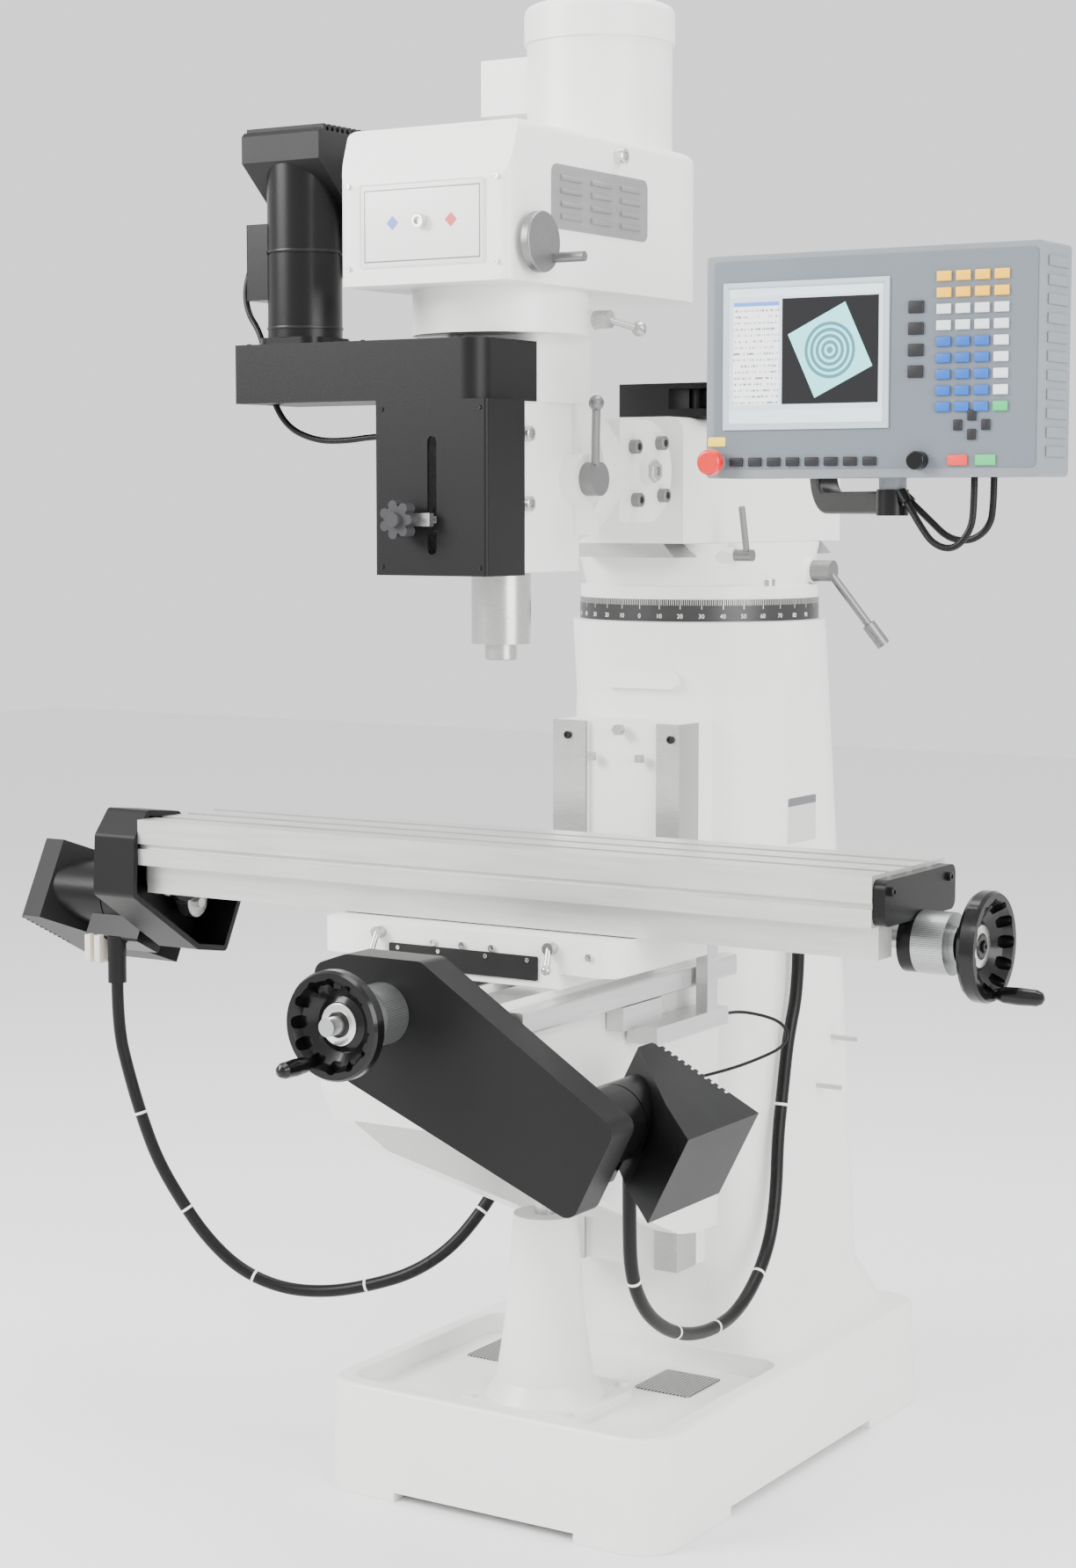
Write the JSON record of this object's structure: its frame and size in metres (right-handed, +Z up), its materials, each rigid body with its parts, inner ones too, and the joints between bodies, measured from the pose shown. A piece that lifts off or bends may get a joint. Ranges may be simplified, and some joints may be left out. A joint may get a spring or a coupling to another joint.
{
  "type": "vertical milling machine",
  "caption": "Knee-type vertical milling machine with belt drives on the table, knee and quill, and a swinging control console.",
  "frame": {"origin": "on the floor, at the centre of the base's anchor holes", "axes": "+X to the operator's right, +Y away from the operator, +Z up"},
  "size_m": [1.824, 1.3529, 2.213],
  "materials": {
    "cream_paint": "semi-gloss",
    "black_paint": "satin",
    "grey_paint": "satin",
    "cast_iron": "ground",
    "steel": "ground",
    "aluminium": "anodised",
    "black_aluminium": "black anodised",
    "black_plastic": "gloss",
    "red_plastic": "gloss",
    "key_plastic": "matte",
    "cable_jacket": "satin"
  },
  "bodies": {
    "frame": {"base_casting": "cream_paint", "column_casting": "cream_paint", "screw_pedestal": "cream_paint", "column_hardware": "steel", "x_cable_knee": "cable_jacket", "y_cable": "cable_jacket"},
    "turret": {"turret_casting": "cream_paint"},
    "ram_lock": {"ram_lock_lever": "steel"},
    "ram_pinion": {"ram_pinion_handle": "steel"},
    "ram": {"ram_casting": "cream_paint", "console_mount": "black_paint"},
    "adapter": {"ram_adapter": "cream_paint"},
    "head": {"head_casting": "cream_paint", "belt_housing": "cream_paint", "spindle_motor": "cream_paint", "z_drive_arm": "black_aluminium", "z_drive_box": "black_aluminium", "z_motor": "black_aluminium", "z_amplifier": "black_aluminium", "z_cable": "cable_jacket"},
    "speed_wheel": {"speed_handwheel": "black_plastic"},
    "hi_lo": {"hi_lo_lever": "steel"},
    "feed_lever": {"quill_feed_lever": "aluminium"},
    "z_screw": {"z_ballscrew": "aluminium"},
    "quill_unit": {"quill": "steel", "quill_carriage": "steel"},
    "quill_knob": {"star_knob": "black_plastic"},
    "spindle_unit": {"spindle": "steel"},
    "knee": {"knee_casting": "cream_paint", "y_drive_housing": "black_aluminium", "y_motor": "black_aluminium", "y_amplifier": "black_aluminium", "y_scale": "aluminium", "scale_cable": "cable_jacket"},
    "lift_screw": {"elevating_screw": "steel"},
    "y_screw_unit": {"y_screw": "aluminium", "y_handwheel": "black_plastic"},
    "y_grip_unit": {"y_grip": "black_plastic"},
    "saddle": {"saddle_casting": "cream_paint", "scale_reader": "steel", "x_cable_saddle": "cable_jacket"},
    "lock_left": {"saddle_lock_left": "steel"},
    "lock_right": {"saddle_lock_right": "steel"},
    "table_unit": {"table": "cast_iron", "x_drive_housing": "black_aluminium", "x_motor": "black_aluminium", "x_amplifier": "black_aluminium", "x_end_bracket": "cast_iron", "x_cable_table": "cable_jacket"},
    "x_screw_unit": {"x_screw": "aluminium", "x_handwheel": "black_plastic"},
    "x_grip_unit": {"x_grip": "black_plastic"},
    "x_pulley_unit": {"x_pulley": "aluminium"},
    "arm": {"console_arm": "black_paint", "console_cable_a": "cable_jacket", "console_cable_b": "cable_jacket"},
    "console": {"console_case": "grey_paint", "console_keys": "key_plastic"},
    "stop_button": {"estop_button": "red_plastic"},
    "feed_knob_unit": {"feed_knob": "black_plastic"}
  },
  "joints": [
    {"name": "turret_swivel", "type": "hinge", "parent": "frame", "child": "turret", "pos_m": [0, 0.19, 1.299], "axis": [0, 0, 1], "range_deg": [-90, 90]},
    {"name": "ram_lock_turn", "type": "hinge", "parent": "turret", "child": "ram_lock", "pos_m": [0.148, 0.036, 1.403], "axis": [1, 0, 0], "range_deg": [-30, 30]},
    {"name": "ram_slide", "type": "slide", "parent": "turret", "child": "ram", "axis": [0, 1, 0], "range_m": [-0.15, 0.1]},
    {"name": "ram_pinion_turn", "type": "hinge", "parent": "turret", "child": "ram_pinion", "pos_m": [0.16, 0.28, 1.375], "axis": [1, 0, 0], "range_deg": [-230, 344]},
    {"name": "head_nod", "type": "hinge", "parent": "ram", "child": "adapter", "pos_m": [0, -0.15, 1.529], "axis": [1, 0, 0], "range_deg": [-20, 20]},
    {"name": "head_tilt", "type": "hinge", "parent": "adapter", "child": "head", "pos_m": [0, -0.255, 1.529], "axis": [0, 1, 0], "range_deg": [-45, 25]},
    {"name": "speed_wheel_turn", "type": "hinge", "parent": "head", "child": "speed_wheel", "pos_m": [0.14, -0.538, 1.831], "axis": [1, 0, 0], "continuous": true},
    {"name": "hi_lo_turn", "type": "hinge", "parent": "head", "child": "hi_lo", "pos_m": [0.103, -0.306, 1.742], "axis": [1, 0, 0], "range_deg": [-30, 30]},
    {"name": "quill_slide", "type": "slide", "parent": "head", "child": "quill_unit", "axis": [0, 0, 1], "range_m": [-0.04, 0.087]},
    {"name": "feed_lever_turn", "type": "hinge", "parent": "head", "child": "feed_lever", "pos_m": [0.105, -0.33, 1.516], "axis": [1, 0, 0], "range_deg": [-222, 102]},
    {"name": "z_screw_turn", "type": "hinge", "parent": "head", "child": "z_screw", "pos_m": [0.005, -0.528, 1.39], "axis": [0, 0, 1], "continuous": true},
    {"name": "quill_knob_turn", "type": "hinge", "parent": "quill_unit", "child": "quill_knob", "pos_m": [-0.03, -0.594, 1.459], "axis": [0, 1, 0], "continuous": true},
    {"name": "spindle_turn", "type": "hinge", "parent": "quill_unit", "child": "spindle_unit", "pos_m": [0, -0.394, 1.26], "axis": [0, 0, 1], "continuous": true},
    {"name": "knee_slide", "type": "slide", "parent": "frame", "child": "knee", "axis": [0, 0, 1], "range_m": [-0.15, 0.13], "deforming": ["x_cable_knee", "y_cable"]},
    {"name": "lift_screw_turn", "type": "hinge", "parent": "knee", "child": "lift_screw", "pos_m": [0, -0.275, 0.17], "axis": [0, 0, 1], "continuous": true},
    {"name": "saddle_slide", "type": "slide", "parent": "knee", "child": "saddle", "axis": [0, 1, 0], "range_m": [-0.13, 0.125], "deforming": ["x_cable_saddle", "scale_cable"]},
    {"name": "y_screw_turn", "type": "hinge", "parent": "knee", "child": "y_screw_unit", "pos_m": [0, -0.7, 0.79], "axis": [0, 1, 0], "continuous": true},
    {"name": "y_grip_turn", "type": "hinge", "parent": "y_screw_unit", "child": "y_grip_unit", "pos_m": [-0.03286, -0.815, 0.73742], "axis": [0, 1, 0], "continuous": true},
    {"name": "lock_left_turn", "type": "hinge", "parent": "saddle", "child": "lock_left", "pos_m": [-0.142, -0.495, 0.866], "axis": [0, 1, 0], "range_deg": [-30, 30]},
    {"name": "lock_right_turn", "type": "hinge", "parent": "saddle", "child": "lock_right", "pos_m": [0.15, -0.495, 0.866], "axis": [0, 1, 0], "range_deg": [-30, 30]},
    {"name": "table_slide", "type": "slide", "parent": "saddle", "child": "table_unit", "axis": [1, 0, 0], "range_m": [-0.37, 0.37], "deforming": ["x_cable_table"]},
    {"name": "x_screw_turn", "type": "hinge", "parent": "table_unit", "child": "x_screw_unit", "pos_m": [0.64, -0.347, 0.897], "axis": [1, 0, 0], "continuous": true},
    {"name": "x_grip_turn", "type": "hinge", "parent": "x_screw_unit", "child": "x_grip_unit", "pos_m": [0.75, -0.347, 0.835], "axis": [1, 0, 0], "continuous": true},
    {"name": "x_pulley_turn", "type": "hinge", "parent": "table_unit", "child": "x_pulley_unit", "pos_m": [-0.69, -0.28, 0.845], "axis": [1, 0, 0], "continuous": true},
    {"name": "arm_swing", "type": "hinge", "parent": "ram", "child": "arm", "pos_m": [0.088, 0.045, 1.641], "axis": [0, 0, 1], "range_deg": [0, 60]},
    {"name": "console_turn", "type": "hinge", "parent": "arm", "child": "console", "pos_m": [0.629, -0.43, 1.482], "axis": [0, 0, 1], "range_deg": [-25, 45], "deforming": ["console_cable_a", "console_cable_b"]},
    {"name": "stop_press", "type": "slide", "parent": "console", "child": "stop_button", "axis": [0, 1, 0], "range_m": [0, 0.004], "stiffness_N_per_m": 800, "springref_m": -0.001},
    {"name": "feed_knob_turn", "type": "hinge", "parent": "console", "child": "feed_knob_unit", "pos_m": [0.69, -0.48, 1.535], "axis": [0, 1, 0], "range_deg": [-135, 135]}
  ],
  "couplings": [
    {"joint": "ram_pinion_turn", "follows": "ram_slide", "rad_per_m": -40},
    {"joint": "feed_lever_turn", "follows": "quill_slide", "rad_per_m": -44.44},
    {"joint": "z_screw_turn", "follows": "quill_slide", "rad_per_m": 1256.6},
    {"joint": "lift_screw_turn", "follows": "knee_slide", "rad_per_m": 1047.2},
    {"joint": "y_screw_turn", "follows": "saddle_slide", "rad_per_m": 1256.6},
    {"joint": "x_screw_turn", "follows": "table_slide", "rad_per_m": 1256.6},
    {"joint": "x_pulley_turn", "follows": "table_slide", "rad_per_m": 1780.2}
  ]
}
